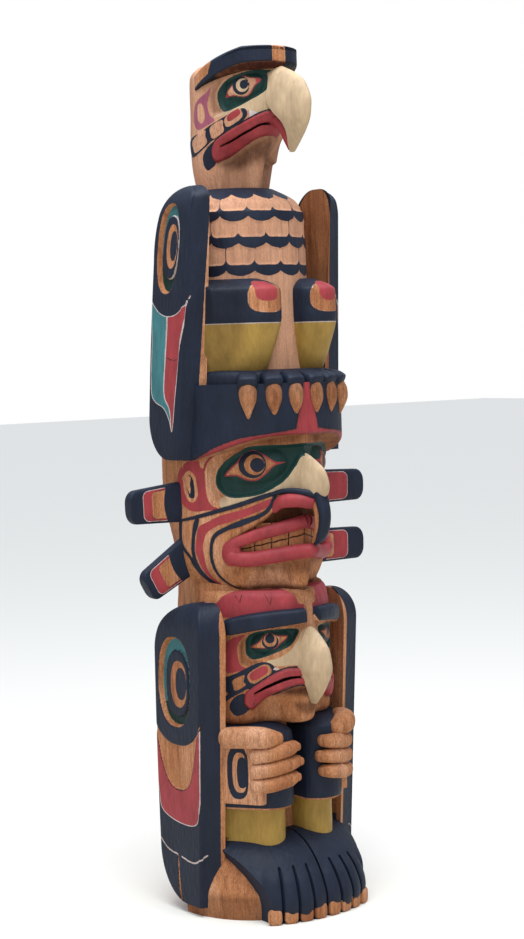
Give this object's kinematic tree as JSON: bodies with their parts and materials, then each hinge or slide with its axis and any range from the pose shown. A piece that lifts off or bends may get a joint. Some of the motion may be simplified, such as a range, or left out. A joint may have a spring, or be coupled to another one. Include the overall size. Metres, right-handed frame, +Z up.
{
  "type": "totem pole",
  "caption": "Carved and painted cedar totem pole with an eagle, a sun-like face with inserted ray boards and a seated bird figure, on a flat sawn base.",
  "frame": {"origin": "middle of the sawn base, on the surface that the pole stands on", "axes": "+Z up along the log; the figures face -Y; +X to the right as seen from the front"},
  "size_m": [0.7849, 0.5724, 2.268],
  "materials": {
    "painted_cedar": "bare and painted carved cedar, satin",
    "painted_board": "painted cedar board, satin"
  },
  "bodies": {
    "root": {"carved_pole": "painted_cedar", "ray_upper_left": "painted_board", "ray_upper_right": "painted_board", "ray_lower_left": "painted_board", "ray_lower_right": "painted_board"}
  },
  "joints": []
}
